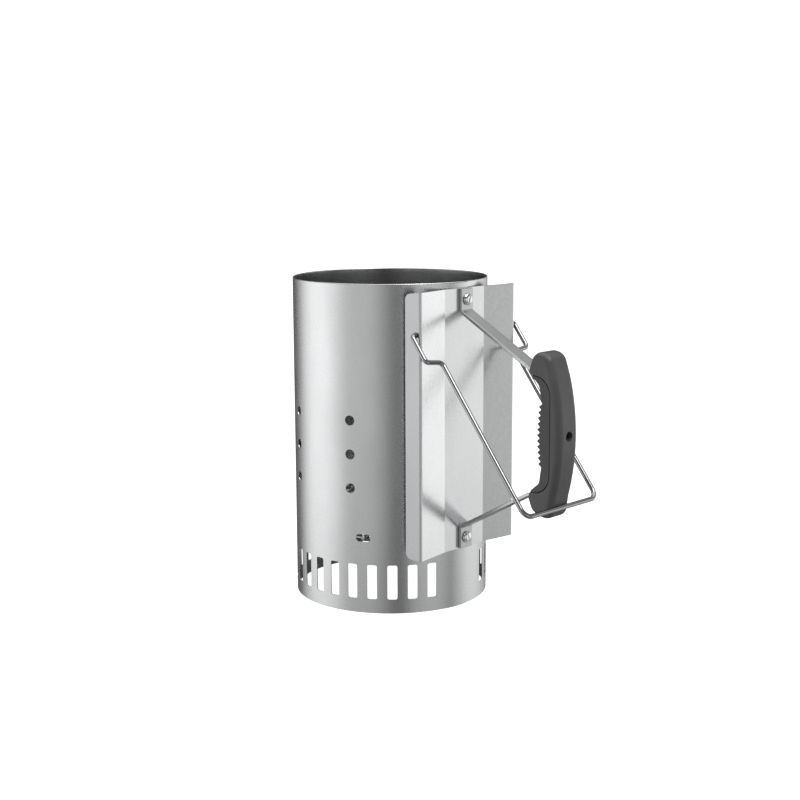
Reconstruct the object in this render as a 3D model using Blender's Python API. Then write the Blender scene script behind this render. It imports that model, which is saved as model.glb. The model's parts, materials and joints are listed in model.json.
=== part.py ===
"""Chimney charcoal starter: a vented sheet-steel cylinder with a wire grate, a heat shield,
a strap that carries a moulded grip, and a wire bail that swings on the shield's flanges.

Metres, +Z up. Everything is parented to an empty on the cylinder's axis. In that empty's frame
+X points from the axis to the grip and +Z = 0 is the surface the starter stands on. The empty is
shifted along X so that the world origin is at the middle of the assembly's footprint.
"""

from math import asin, cos, hypot, pi, radians, sin, sqrt, tan

import bmesh
import bpy
from mathutils import Matrix, Vector

MM = 0.001
GAP = 0.3 * MM                      # left between pieces that touch

# Cylinder
BODY_RADIUS = 95.25 * MM
BODY_HEIGHT = 313.2 * MM
SHEET = 0.8 * MM
BODY_SEGMENTS = 120
HEM_HEIGHT = 5.0 * MM               # the top edge is folded inwards, which doubles the sheet
LAP_RAMP = (-22.0, -7.0)            # degrees: where the outer end of the sheet rises onto the inner end
LAP_EDGE = 3.0                      # degrees: where the outer end of the sheet stops

# Air openings in the cylinder
SLOTS_PER_SIDE = 14
SLOT_PITCH = 11.72                  # degrees
SLOT_WIDTH = 9.6 * MM
SLOT_BOTTOM = 13.6 * MM
SLOT_TOP = 47.2 * MM
SLOT_CORNER = 2.0 * MM
HOLE_DIAMETER = 9.6 * MM
HOLE_COLUMNS = (69.5, 114.5)        # degrees, on each side
HOLE_HEIGHTS = (120.6 * MM, 153.0 * MM, 185.4 * MM)
WINDOW_WIDTH = 14.6 * MM
WINDOW_HEIGHT = 7.4 * MM
WINDOW_Z = 73.2 * MM
WINDOW_FIRST = -62.0                # degrees, then one every quarter turn

# Grip side: shield, strap and handle are alike above and below this height
MID_Z = 182.4 * MM
SCREW_RISE = 114.2 * MM             # strap screws above and below MID_Z

# Heat shield
SHIELD_THICKNESS = 1.0 * MM
SHIELD_BACK = BODY_RADIUS + SHEET + GAP
SHIELD_HALF_HEIGHT = 124.9 * MM
SHIELD_FLAT_HALF = 27.5 * MM        # flat middle panel
SHIELD_WING_HALF = 66.5 * MM
SHIELD_WING_OUT = 6.0 * MM          # how far the wings stand off from the middle panel
SHIELD_FLANGE = 19.5 * MM
SHIELD_BEND = 1.6 * MM
SHIELD_CORNER = 6.0 * MM

# Strap
STRAP_END_INSET = 0.4 * MM          # from the shield's edge to the strap's end
STRAP_WIDTH = 16.2 * MM
STRAP_THICKNESS = 3.0 * MM
FOOT_X = SHIELD_BACK + SHIELD_THICKNESS + GAP + STRAP_THICKNESS / 2
FOOT_BEND_RISE = 103.0 * MM
ARM_END_X = 181.0 * MM
GRIP_FACE_X = 210.0 * MM            # where the grip's inner and outer halves meet
GRIP_FACE_RISE = 53.3 * MM
GRIP_FACE_CORNER = 18.0 * MM
JOINT_START_X = 170.0 * MM          # where the shape cut out along the joint line starts
STRAP_OFFSET = GAP + STRAP_THICKNESS / 2
STRAP_LIFT = 2.6 * MM               # extra room between the strap and the grip's inner half at its ends

# Grip
GRIP_OUTER_X = 221.2 * MM
GRIP_ARC_RADIUS = 205.0 * MM
GRIP_ARC_CENTRE_RISE = -2.0 * MM
GRIP_ARC_REACH = 54.0 * MM
GRIP_HALF_WIDTH = 14.0 * MM
GRIP_ROUNDING = 6.0 * MM
EDGE_SHARE = 0.25                   # share of that rounding on the finger side
RIDGES = 11
RIDGE_PITCH = 5.2 * MM
RIDGE_HEIGHT = 3.0 * MM
RIDGE_TIP_X = 194.6 * MM
RIDGE_ARC_RADIUS = 190.0 * MM

# Fasteners
BOLT_RADIUS = 2.5 * MM
BOLT_HOLE_RADIUS = 2.9 * MM
BOLT_TAIL = 1.2 * MM                # how far a screw's end sticks out of its nut
HEAD_RADIUS = 5.6 * MM
HEAD_HEIGHT = 2.6 * MM
DRIVER_SLOT = 1.2 * MM
NUT_FLAT_RADIUS = 4.0 * MM
NUT_THICKNESS = 3.6 * MM
WASHER_RADIUS = 5.6 * MM
WASHER_THICKNESS = 1.0 * MM
GRIP_HEAD_RADIUS = 4.0 * MM
GRIP_COUNTERBORE_RADIUS = 4.6 * MM
GRIP_FLOOR = 2.0 * MM               # plastic left under the grip screw's head

# Bail
BAIL_WIRE_RADIUS = 2.25 * MM
BAIL_PIVOT_X = 97.2 * MM
BAIL_PIVOT_Z = 268.6 * MM
BAIL_PIVOT_HALF = 71.8 * MM
BAIL_TIP_HALF = 59.0 * MM
BAIL_STRAIGHT_HALF = 52.2 * MM
BAIL_KINK = 28.5 * MM
BAIL_KINK_LEAN = 2.5 * MM
BAIL_LENGTH = 192.0 * MM
BAIL_REST = 52.25                   # degrees below the horizontal, resting on the grip
BAIL_HOLE_RADIUS = 2.65 * MM

# Grate
GRATE_WIRE_RADIUS = 2.0 * MM
GRATE_SPOKES = 12
GRATE_RISE = 0.78                   # rise of the cone for each unit of radius
GRATE_RINGS = (("grate_base_ring", 83.0 * MM, 48), ("grate_lower_ring", 59.0 * MM, 36),
               ("grate_upper_ring", 35.0 * MM, 24), ("grate_crown_ring", 14.0 * MM, 16))
GRATE_OVERLAP = 2.5 * MM            # how far the spokes reach in past the crown ring's middle line
GRATE_KNEE = 84.5 * MM              # radius where a spoke turns level
GRATE_SHORT_END = 88.0 * MM
GRATE_LONG_END = 96.0 * MM          # the spokes that rest in the windows

AXIS_X = -(GRIP_OUTER_X - BODY_RADIUS) / 2
WIRE_SIDES = 8
CUT = 3.0 * MM                      # cutters reach at least this far past what they cut


# --- Scene and materials -----------------------------------------------------------------------

def clear_scene():
    for obj in list(bpy.data.objects):
        bpy.data.objects.remove(obj, do_unlink=True)


def material(name, colour, roughness, metallic):
    mat = bpy.data.materials.new(name)
    mat.use_nodes = True
    shader = mat.node_tree.nodes["Principled BSDF"]
    shader.inputs["Base Color"].default_value = (*colour, 1.0)
    shader.inputs["Roughness"].default_value = roughness
    shader.inputs["Metallic"].default_value = metallic
    return mat


def place(name, mesh_data, mat=None, smooth=None, location=(0.0, 0.0, 0.0), rotation=(0.0, 0.0, 0.0)):
    """Puts a mesh in the scene as a child of the cylinder's axis."""
    obj = bpy.data.objects.new(name, mesh_data)
    bpy.context.collection.objects.link(obj)
    obj.parent = AXIS
    obj.location = location
    obj.rotation_euler = rotation
    if mat is not None:
        mesh_data.materials.append(mat)
    if smooth is not None:
        mesh_data.shade_smooth()
        mesh_data.set_sharp_from_angle(angle=radians(smooth))
    return obj


def to_mesh(name, bm):
    bmesh.ops.recalc_face_normals(bm, faces=bm.faces)
    data = bpy.data.meshes.new(name)
    bm.to_mesh(data)
    bm.free()
    return data


def boolean(obj, cutter, operation="DIFFERENCE"):
    """Cuts obj with cutter, which is hidden from the model."""
    modifier = obj.modifiers.new(f"{operation.lower()}_{cutter.name}", "BOOLEAN")
    modifier.operation = operation
    modifier.solver = "EXACT"
    modifier.object = cutter
    cutter.hide_render = True
    cutter.display_type = "WIRE"


# --- Outlines ----------------------------------------------------------------------------------

def fillet(before, corner, after, radius, steps):
    """The arc of the given radius that rounds one corner of a path."""
    a = (before - corner).normalized()
    b = (after - corner).normalized()
    half = a.angle(b) / 2
    reach = radius / tan(half)
    centre = corner + (a + b).normalized() * (radius / sin(half))
    start = corner + a * reach - centre
    turn = (pi - 2 * half) / steps
    normal = start.cross(corner + b * reach - centre)
    return [centre + Matrix.Rotation(turn * i, 3, normal) @ start for i in range(steps + 1)]


def rounded_path(corners, closed, steps=4):
    """Points of a path through corners (point, radius); radius 0 keeps a corner sharp."""
    path = []
    count = len(corners)
    for i, (corner, radius) in enumerate(corners):
        inside = closed or 0 < i < count - 1
        if radius and inside:
            path += fillet(corners[i - 1][0], corner, corners[(i + 1) % count][0], radius, steps)
        else:
            path.append(corner)
    return path


def flat(*corners):
    """Corners (x, z, radius) of a path in the vertical plane through the grip."""
    return [(Vector((x, 0.0, z)), radius) for x, z, radius in corners]


def rounded_rectangle(width, height, radius, steps):
    """Corners of an upright rounded rectangle, as (sideways, up) pairs."""
    outline = []
    for quarter in range(4):
        sx = 1 if quarter in (0, 3) else -1
        sz = 1 if quarter in (0, 1) else -1
        for i in range(steps + 1):
            angle = (quarter + i / steps) * pi / 2
            side = sx * (width / 2 - radius) + radius * cos(angle)
            up = sz * (height / 2 - radius) + radius * sin(angle)
            outline.append((side, up))
    return outline


def circle(radius, steps):
    return [(radius * cos(2 * pi * i / steps), radius * sin(2 * pi * i / steps)) for i in range(steps)]


# --- Solids ------------------------------------------------------------------------------------

def loft(bm, rings, closed=False):
    """Joins rings of equal point counts with faces; the ends are capped unless closed."""
    loops = [[bm.verts.new(point) for point in ring] for ring in rings]
    count = len(loops[0])
    spans = list(zip(loops, loops[1:]))
    if closed:
        spans.append((loops[-1], loops[0]))
    for low, high in spans:
        for i in range(count):
            j = (i + 1) % count
            bm.faces.new((low[i], low[j], high[j], high[i]))
    if not closed:
        bm.faces.new(loops[0])
        bm.faces.new(loops[-1])


def slab(name, path, half_width):
    """A solid with the given outline in the XZ plane, reaching half_width to each side."""
    bm = bmesh.new()
    loft(bm, [[point + Vector((0.0, side, 0.0)) for point in path] for side in (-half_width, half_width)])
    return to_mesh(name, bm)


def offset_path(path, distance):
    """The path moved sideways in the XZ plane by distance, mitred at its corners."""
    moved = []
    for i, point in enumerate(path):
        before = (point - path[i - 1]).normalized() if i else None
        after = (path[i + 1] - point).normalized() if i + 1 < len(path) else None
        before = before or after
        after = after or before
        left = Vector((-before.z, 0.0, before.x)) + Vector((-after.z, 0.0, after.x))
        left.normalize()
        lean = left.dot(Vector((-after.z, 0.0, after.x)))
        moved.append(point + left * (distance / lean))
    return moved


def band(name, path, near, far, half_width):
    """A flat bar that follows path, from the offset near to the offset far."""
    outline = offset_path(path, near) + list(reversed(offset_path(path, far)))
    return slab(name, outline, half_width)


def radial_prism(bm, outline, angle, inner, outer):
    """A prism through the cylinder's wall, with its outline facing outwards at angle degrees."""
    turn = Matrix.Rotation(radians(angle), 3, "Z")
    rings = [[turn @ Vector((reach, side, up)) for side, up in outline] for reach in (inner, outer)]
    loft(bm, rings)


def turned_x(bm, profile, steps=16):
    """A solid turned about the X axis from (x, radius) pairs."""
    spokes = [2 * pi * i / steps for i in range(steps)]
    rings = [[Vector((x, r * cos(a), r * sin(a))) for a in spokes] for x, r in profile]
    loft(bm, rings)


def sweep(bm, points, radius, sides=WIRE_SIDES):
    """A round wire along an open path, with mitred joints."""
    tangent = (points[1] - points[0]).normalized()
    side = tangent.orthogonal().normalized()
    rings = []
    for i, point in enumerate(points):
        before = (point - points[i - 1]).normalized() if i else tangent
        after = (points[i + 1] - point).normalized() if i + 1 < len(points) else before
        mitre = (before + after).normalized()
        side = (side - before * side.dot(before)).normalized()
        other = before.cross(side)
        ring = []
        for k in range(sides):
            angle = 2 * pi * (k + 0.5) / sides
            spoke = (side * cos(angle) + other * sin(angle)) * radius
            ring.append(point + spoke - before * (spoke.dot(mitre) / before.dot(mitre)))
        rings.append(ring)
    loft(bm, rings)


def wire_ring(name, radius, height, wire, segments):
    bm = bmesh.new()
    rings = []
    for i in range(segments):
        angle = 2 * pi * i / segments
        ring = []
        for k in range(WIRE_SIDES):
            around = 2 * pi * (k + 0.5) / WIRE_SIDES
            reach = radius + wire * cos(around)
            ring.append(Vector((reach * cos(angle), reach * sin(angle), height + wire * sin(around))))
        rings.append(ring)
    loft(bm, rings, closed=True)
    return to_mesh(name, bm)


# --- Cylinder ----------------------------------------------------------------------------------

def body_outer_radius(angle):
    """The wall's outer radius at angle degrees: the sheet's outer end lies on its inner end."""
    start, end = LAP_RAMP
    if start < angle <= LAP_EDGE:
        rise = min(1.0, (angle - start) / (end - start))
        return BODY_RADIUS + SHEET * rise * rise * (3 - 2 * rise)
    return BODY_RADIUS


def body_shell():
    step = 360 / BODY_SEGMENTS
    angles = [-180 + step * i for i in range(BODY_SEGMENTS)]
    angles.insert(angles.index(LAP_EDGE) + 1, LAP_EDGE + 0.25)
    bm = bmesh.new()
    inner = BODY_RADIUS - SHEET
    levels = ((None, 0.0), (None, BODY_HEIGHT), (inner - SHEET, BODY_HEIGHT),
              (inner - SHEET, BODY_HEIGHT - HEM_HEIGHT), (inner, BODY_HEIGHT - HEM_HEIGHT), (inner, 0.0))
    rings = []
    for radius, height in levels:
        ring = []
        for angle in angles:
            reach = radius or body_outer_radius(angle)
            ring.append(Vector((reach * cos(radians(angle)), reach * sin(radians(angle)), height)))
        rings.append(ring)
    loft(bm, rings, closed=True)
    return to_mesh("cylinder_body", bm)


def body_cutters():
    bm = bmesh.new()
    reach = (BODY_RADIUS - 2 * CUT, BODY_RADIUS + 2 * CUT)
    slot_height = SLOT_TOP - SLOT_BOTTOM
    slot = rounded_rectangle(SLOT_WIDTH, slot_height, SLOT_CORNER, 2)
    slot = [(side, up + SLOT_BOTTOM + slot_height / 2) for side, up in slot]
    hole = circle(HOLE_DIAMETER / 2, 12)
    window = rounded_rectangle(WINDOW_WIDTH, WINDOW_HEIGHT, 0.98 * WINDOW_HEIGHT / 2, 3)
    gap = 360 - SLOT_PITCH * (2 * SLOTS_PER_SIDE - 1)
    for side in (-1, 1):
        for k in range(SLOTS_PER_SIDE):
            radial_prism(bm, slot, side * (gap / 2 + k * SLOT_PITCH), *reach)
        for column in HOLE_COLUMNS:
            for height in HOLE_HEIGHTS:
                radial_prism(bm, [(s, u + height) for s, u in hole], side * column, *reach)
    for quarter in range(4):
        raised = [(s, u + WINDOW_Z) for s, u in window]
        radial_prism(bm, raised, WINDOW_FIRST + 90 * quarter, *reach)
    bolt = circle(BOLT_HOLE_RADIUS, 12)
    for side in (-1, 1):
        radial_prism(bm, [(s, u + MID_Z + side * SCREW_RISE) for s, u in bolt], 0.0, *reach)
    return place("vent_cutter", to_mesh("vent_cutter", bm))


def make_body(steel):
    body = place("cylinder_body", body_shell(), steel, smooth=30)
    boolean(body, body_cutters())


# --- Heat shield -------------------------------------------------------------------------------

def shield_plan():
    """The middle line of the bent sheet seen from above, from flange edge to flange edge."""
    middle = SHIELD_BACK + SHIELD_THICKNESS / 2
    wing_x = middle + SHIELD_WING_OUT
    wing_y = SHIELD_WING_HALF - SHIELD_THICKNESS / 2
    edge_x = wing_x + SHIELD_THICKNESS / 2 - SHIELD_FLANGE
    half = [(edge_x, wing_y, 0.0), (wing_x, wing_y, SHIELD_BEND), (middle, SHIELD_FLAT_HALF, 3 * SHIELD_BEND)]
    other = [(x, -y, radius) for x, y, radius in reversed(half)]
    return rounded_path(flat(*(half + other)), closed=False, steps=3), edge_x


def corner_cutter(bm, edge_x, side, end):
    """The waste outside one rounded corner of a flange."""
    tip = Vector((edge_x, 0.0, MID_Z + end * SHIELD_HALF_HEIGHT))
    arc_centre = tip + Vector((SHIELD_CORNER, 0.0, -end * SHIELD_CORNER))
    waste = [tip + Vector((-CUT, 0.0, end * CUT)), tip + Vector((SHIELD_CORNER, 0.0, end * CUT))]
    for i in range(5):
        angle = pi / 2 + i * pi / 8
        waste.append(arc_centre + SHIELD_CORNER * Vector((cos(angle), 0.0, end * sin(angle))))
    waste.append(tip + Vector((-CUT, 0.0, -end * SHIELD_CORNER)))
    outer = Vector((0.0, side * (SHIELD_WING_HALF + CUT), 0.0))
    inner = Vector((0.0, side * (SHIELD_WING_HALF - 2 * CUT), 0.0))
    loft(bm, [[point + shift for point in waste] for shift in (outer, inner)])


def make_shield(steel):
    plan, edge_x = shield_plan()
    data = band("heat_shield", plan, -SHIELD_THICKNESS / 2, SHIELD_THICKNESS / 2, SHIELD_HALF_HEIGHT)
    stand_up = Matrix(((1, 0, 0, 0), (0, 0, 1, 0), (0, 1, 0, MID_Z), (0, 0, 0, 1)))
    data.transform(stand_up)
    data.flip_normals()
    shield = place("heat_shield", data, steel, smooth=30)
    bm = bmesh.new()
    for side in (-1, 1):
        for end in (-1, 1):
            corner_cutter(bm, edge_x, side, end)
        bolt = [(s, u + MID_Z + side * SCREW_RISE) for s, u in circle(BOLT_HOLE_RADIUS, 12)]
        radial_prism(bm, bolt, 0.0, SHIELD_BACK - CUT, SHIELD_BACK + SHIELD_THICKNESS + CUT)
        eye = [Vector((BAIL_PIVOT_X + x, 0.0, BAIL_PIVOT_Z + z)) for x, z in circle(BAIL_HOLE_RADIUS, 16)]
        reach = [side * (SHIELD_WING_HALF + shift) for shift in (-SHIELD_THICKNESS - CUT, CUT)]
        loft(bm, [[point + Vector((0.0, y, 0.0)) for point in eye] for y in reach])
    boolean(shield, place("shield_cutter", to_mesh("shield_cutter", bm)))


# --- Strap and grip ----------------------------------------------------------------------------

def strap_path():
    top = MID_Z + SHIELD_HALF_HEIGHT - STRAP_END_INSET
    rise = GRIP_FACE_RISE + STRAP_OFFSET + STRAP_LIFT
    grip_x = GRIP_FACE_X + STRAP_OFFSET
    half = [(FOOT_X, MID_Z + FOOT_BEND_RISE, 3 * MM), (ARM_END_X, MID_Z + rise, 10 * MM),
            (grip_x, MID_Z + rise, GRIP_FACE_CORNER + STRAP_OFFSET)]
    lower = [(x, 2 * MID_Z - z, radius) for x, z, radius in half]
    corners = [(FOOT_X, 2 * MID_Z - top, 0.0)] + lower + list(reversed(half)) + [(FOOT_X, top, 0.0)]
    return rounded_path(flat(*corners), closed=False, steps=4)


def x_hole(bm, height, radius, start, end, steps=12):
    """A round cutter along X."""
    rings = [[Vector((x, s, height + u)) for s, u in circle(radius, steps)] for x in (start, end)]
    loft(bm, rings)


def make_strap(steel):
    data = band("handle_strap", strap_path(), -STRAP_THICKNESS / 2, STRAP_THICKNESS / 2, STRAP_WIDTH / 2)
    strap = place("handle_strap", data, steel, smooth=30)
    bm = bmesh.new()
    for side in (-1, 1):
        x_hole(bm, MID_Z + side * SCREW_RISE, BOLT_HOLE_RADIUS, FOOT_X - 2 * CUT, FOOT_X + 2 * CUT)
    x_hole(bm, MID_Z, BOLT_HOLE_RADIUS, GRIP_FACE_X - 2 * CUT, GRIP_FACE_X + 2 * CUT)
    boolean(strap, place("strap_cutter", to_mesh("strap_cutter", bm)))


def grip_outline():
    """The grip seen from the side: outer arc, two hooked ends and the finger ridges."""
    outline = []
    arc_centre = Vector((GRIP_OUTER_X - GRIP_ARC_RADIUS, 0.0, MID_Z + GRIP_ARC_CENTRE_RISE))
    reach = asin(GRIP_ARC_REACH / GRIP_ARC_RADIUS)
    for i in range(-4, 5):
        angle = reach * i / 4
        outline.append((arc_centre + GRIP_ARC_RADIUS * Vector((cos(angle), 0.0, sin(angle))), 0.0))
    top_end = flat((207.0 * MM, MID_Z + 72.6 * MM, 11 * MM), (190.0 * MM, MID_Z + 75.8 * MM, 9 * MM),
                   (184.2 * MM, MID_Z + 55.2 * MM, 3 * MM), (196.6 * MM, MID_Z + 44.4 * MM, 8 * MM))
    low_end = flat((197.2 * MM, MID_Z - 43.8 * MM, 6 * MM), (188.6 * MM, MID_Z - 50.8 * MM, 6 * MM),
                   (185.2 * MM, MID_Z - 57.5 * MM, 4 * MM), (189.6 * MM, MID_Z - 71.4 * MM, 9 * MM),
                   (199.2 * MM, MID_Z - 75.4 * MM, 8 * MM), (210.6 * MM, MID_Z - 77.0 * MM, 8 * MM))
    ridges = []
    for i in range(2 * RIDGES + 1):
        rise = (RIDGES - i) * RIDGE_PITCH / 2
        tip = RIDGE_TIP_X + rise * rise / (2 * RIDGE_ARC_RADIUS)
        depth = 0.0 if i % 2 else RIDGE_HEIGHT
        ridges.append((Vector((tip + depth, 0.0, MID_Z + rise)), 0.0))
    return rounded_path(outline + top_end + ridges + low_end, closed=True, steps=3)


def grip_blank(name):
    """The whole grip before it is split, its outer edges rounded by shrinking the end layers."""
    outline = grip_outline()
    count = len(outline)
    ridge_reach = (RIDGES + 0.5) * RIDGE_PITCH / 2
    inward = []
    for i, point in enumerate(outline):
        along = (outline[(i + 1) % count] - outline[i - 1]).normalized()
        normal = Vector((-along.z, 0.0, along.x))
        in_ridges = point.x < GRIP_FACE_X and abs(point.z - MID_Z) < ridge_reach
        outer_side = (point.x - RIDGE_TIP_X) / (10 * MM)
        end_side = (abs(point.z - MID_Z) - GRIP_FACE_RISE - 5 * MM) / (22 * MM)
        weight = min(1.0, max(EDGE_SHARE, outer_side, end_side))
        inward.append(Vector((EDGE_SHARE, 0.0, 0.0)) if in_ridges else normal * weight)
    layers = []
    for degrees in (90, 45, 0):
        shrink = GRIP_ROUNDING * (1 - cos(radians(degrees)))
        side = GRIP_HALF_WIDTH - GRIP_ROUNDING * (1 - sin(radians(degrees)))
        layers.append([(-1, side, shrink), (1, side, shrink)])
    ordered = [pair[0] for pair in layers] + [pair[1] for pair in reversed(layers)]
    rings = []
    for sign, side, shrink in ordered:
        shift = Vector((0.0, sign * side, 0.0))
        rings.append([point + normal * shrink + shift for point, normal in zip(outline, inward)])
    bm = bmesh.new()
    loft(bm, rings)
    return to_mesh(name, bm)


def insert_block(name, clearance):
    """The space inside the joint line between the grip's halves, less clearance."""
    x = GRIP_FACE_X - clearance
    rise = GRIP_FACE_RISE - clearance
    start = JOINT_START_X
    corners = flat((start, MID_Z - rise, 0.0), (x, MID_Z - rise, GRIP_FACE_CORNER),
                   (x, MID_Z + rise, GRIP_FACE_CORNER), (start, MID_Z + rise, 0.0))
    path = rounded_path(corners, closed=True, steps=5)
    return place(name, slab(name, path, GRIP_HALF_WIDTH + CUT))


def make_grip(shell_plastic, insert_plastic):
    shell = place("handle_outer_shell", grip_blank("handle_outer_shell"), shell_plastic, smooth=35)
    boolean(shell, insert_block("shell_recess_cutter", -GAP / 2))
    channel = band("strap_channel_cutter", strap_path(), -STRAP_THICKNESS / 2 - GAP,
                   STRAP_THICKNESS / 2 + 2 * GAP + STRAP_LIFT, STRAP_WIDTH / 2 + GAP)
    boolean(shell, place("strap_channel_cutter", channel))
    floor_x = GRIP_FACE_X + STRAP_OFFSET + STRAP_THICKNESS / 2 + GAP + GRIP_FLOOR
    bm = bmesh.new()
    turned_x(bm, ((GRIP_FACE_X - CUT, BOLT_HOLE_RADIUS), (floor_x, BOLT_HOLE_RADIUS),
                  (floor_x, GRIP_COUNTERBORE_RADIUS), (GRIP_OUTER_X + CUT, GRIP_COUNTERBORE_RADIUS)))
    bore_data = to_mesh("shell_bore_cutter", bm)
    boolean(shell, place("shell_bore_cutter", bore_data, location=(0.0, 0.0, MID_Z)))

    insert = place("handle_grip_insert", grip_blank("handle_grip_insert"), insert_plastic, smooth=35)
    boolean(insert, insert_block("insert_shape_cutter", GAP / 2), "INTERSECT")
    pocket_depth = NUT_THICKNESS + 3 * GAP
    bm = bmesh.new()
    x_hole(bm, 0.0, BOLT_HOLE_RADIUS, GRIP_FACE_X - pocket_depth - CUT, GRIP_FACE_X - MM)
    hexagon = circle((NUT_FLAT_RADIUS + GAP) / cos(pi / 6), 6)
    pocket = [[Vector((x, s, u)) for s, u in hexagon] for x in (GRIP_FACE_X - pocket_depth, GRIP_FACE_X + MM)]
    pocket_bm = bmesh.new()
    loft(pocket_bm, pocket)
    for tool_name, tool in (("insert_bore_cutter", bm), ("nut_pocket_cutter", pocket_bm)):
        data = to_mesh(tool_name, tool)
        boolean(insert, place(tool_name, data, location=(0.0, 0.0, MID_Z)))


# --- Fasteners ---------------------------------------------------------------------------------

def screw_mesh(name, shank_length, head_radius, head_height):
    """A pan-head screw along X, its head's underside at the origin and its shank towards -X."""
    bm = bmesh.new()
    turned_x(bm, ((-shank_length, BOLT_RADIUS - 0.5 * MM), (0.5 * MM - shank_length, BOLT_RADIUS),
                  (0.0, BOLT_RADIUS), (0.0, head_radius), (0.45 * head_height, head_radius),
                  (0.85 * head_height, 0.82 * head_radius), (head_height, 0.5 * head_radius)))
    return to_mesh(name, bm)


def slot_head(screw, name, head_radius, head_height):
    """Cuts the driver slot across a screw's head."""
    bm = bmesh.new()
    reach = head_radius + MM
    for_slot = [(-reach, -DRIVER_SLOT / 2), (reach, -DRIVER_SLOT / 2), (reach, DRIVER_SLOT / 2),
                (-reach, DRIVER_SLOT / 2)]
    loft(bm, [[Vector((x, s, u)) for s, u in for_slot] for x in (0.45 * head_height, head_height + MM)])
    data = to_mesh(name, bm)
    boolean(screw, place(name, data, location=screw.location, rotation=screw.rotation_euler))


def ring_mesh(name, outer, inner, start, end):
    """A ring along X between two outlines with the same number of points."""
    bm = bmesh.new()
    sections = ((start, outer), (end, outer), (end, inner), (start, inner))
    loft(bm, [[Vector((x, s, u)) for s, u in outline] for x, outline in sections], closed=True)
    return to_mesh(name, bm)


def hexagon_outline(flat_radius):
    """Twelve points around a hexagon: its corners and the middles of its sides."""
    outline = []
    for i in range(12):
        angle = pi * i / 6
        reach = flat_radius / cos(pi / 6) if i % 2 == 0 else flat_radius
        outline.append((reach * cos(angle), reach * sin(angle)))
    return outline


def make_strap_fasteners(steel):
    head_x = FOOT_X + STRAP_THICKNESS / 2 + GAP
    inner_wall = BODY_RADIUS - SHEET
    washer_x = sqrt(inner_wall ** 2 - WASHER_RADIUS ** 2) - GAP - WASHER_THICKNESS
    nut_x = washer_x - GAP - NUT_THICKNESS
    bore = circle(BOLT_HOLE_RADIUS, 12)
    shank = head_x - nut_x + BOLT_TAIL
    for label, side in (("upper", 1), ("lower", -1)):
        height = MID_Z + side * SCREW_RISE
        name = f"strap_screw_{label}"
        data = screw_mesh(name, shank, HEAD_RADIUS, HEAD_HEIGHT)
        turn = (radians(20 * side), 0.0, 0.0)
        screw = place(name, data, steel, smooth=30, location=(head_x, 0.0, height), rotation=turn)
        slot_head(screw, f"driver_slot_cutter_{label}", HEAD_RADIUS, HEAD_HEIGHT)
        name = f"strap_washer_{label}"
        data = ring_mesh(name, circle(WASHER_RADIUS, 12), bore, 0.0, WASHER_THICKNESS)
        place(name, data, steel, smooth=40, location=(washer_x, 0.0, height))
        name = f"strap_nut_{label}"
        data = ring_mesh(name, hexagon_outline(NUT_FLAT_RADIUS), bore, 0.0, NUT_THICKNESS)
        place(name, data, steel, location=(nut_x, 0.0, height))


def make_grip_fasteners(dark_steel, steel):
    head_x = GRIP_FACE_X + STRAP_OFFSET + STRAP_THICKNESS / 2 + 2 * GAP + GRIP_FLOOR
    nut_x = GRIP_FACE_X - 2 * GAP - NUT_THICKNESS
    shank = head_x - nut_x + BOLT_TAIL
    data = screw_mesh("handle_screw", shank, GRIP_HEAD_RADIUS, HEAD_HEIGHT)
    screw = place("handle_screw", data, dark_steel, smooth=30, location=(head_x, 0.0, MID_Z))
    slot_head(screw, "driver_slot_cutter_grip", GRIP_HEAD_RADIUS, HEAD_HEIGHT)
    bore = circle(BOLT_HOLE_RADIUS, 12)
    data = ring_mesh("handle_nut", hexagon_outline(NUT_FLAT_RADIUS), bore, 0.0, NUT_THICKNESS)
    place("handle_nut", data, steel, location=(nut_x, 0.0, MID_Z))


# --- Bail --------------------------------------------------------------------------------------

def bail_path():
    """The bail flat on XY, its pivot axis along Y: from one inturned tip round to the other."""
    half = [((0.0, BAIL_TIP_HALF), 0.0), ((0.0, BAIL_PIVOT_HALF), 4 * MM),
            ((BAIL_KINK, BAIL_PIVOT_HALF), 4 * MM),
            ((BAIL_KINK + BAIL_KINK_LEAN, BAIL_STRAIGHT_HALF), 5 * MM),
            ((BAIL_LENGTH, BAIL_STRAIGHT_HALF), 9 * MM)]
    corners = [(Vector((x, y, 0.0)), radius) for (x, y), radius in half]
    corners += [(Vector((x, -y, 0.0)), radius) for (x, y), radius in reversed(half)]
    return rounded_path(corners, closed=False, steps=4)


def make_bail(steel):
    bm = bmesh.new()
    sweep(bm, bail_path(), BAIL_WIRE_RADIUS)
    data = to_mesh("bail_wire", bm)
    place("bail_wire", data, steel, smooth=50, location=(BAIL_PIVOT_X, 0.0, BAIL_PIVOT_Z),
          rotation=(0.0, radians(BAIL_REST), 0.0))


# --- Grate -------------------------------------------------------------------------------------

def cone_height(radius):
    """Height of a spoke's middle line above the windows' middle line, at a radius."""
    return WINDOW_Z + GRATE_RISE * (GRATE_KNEE - radius)


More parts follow.
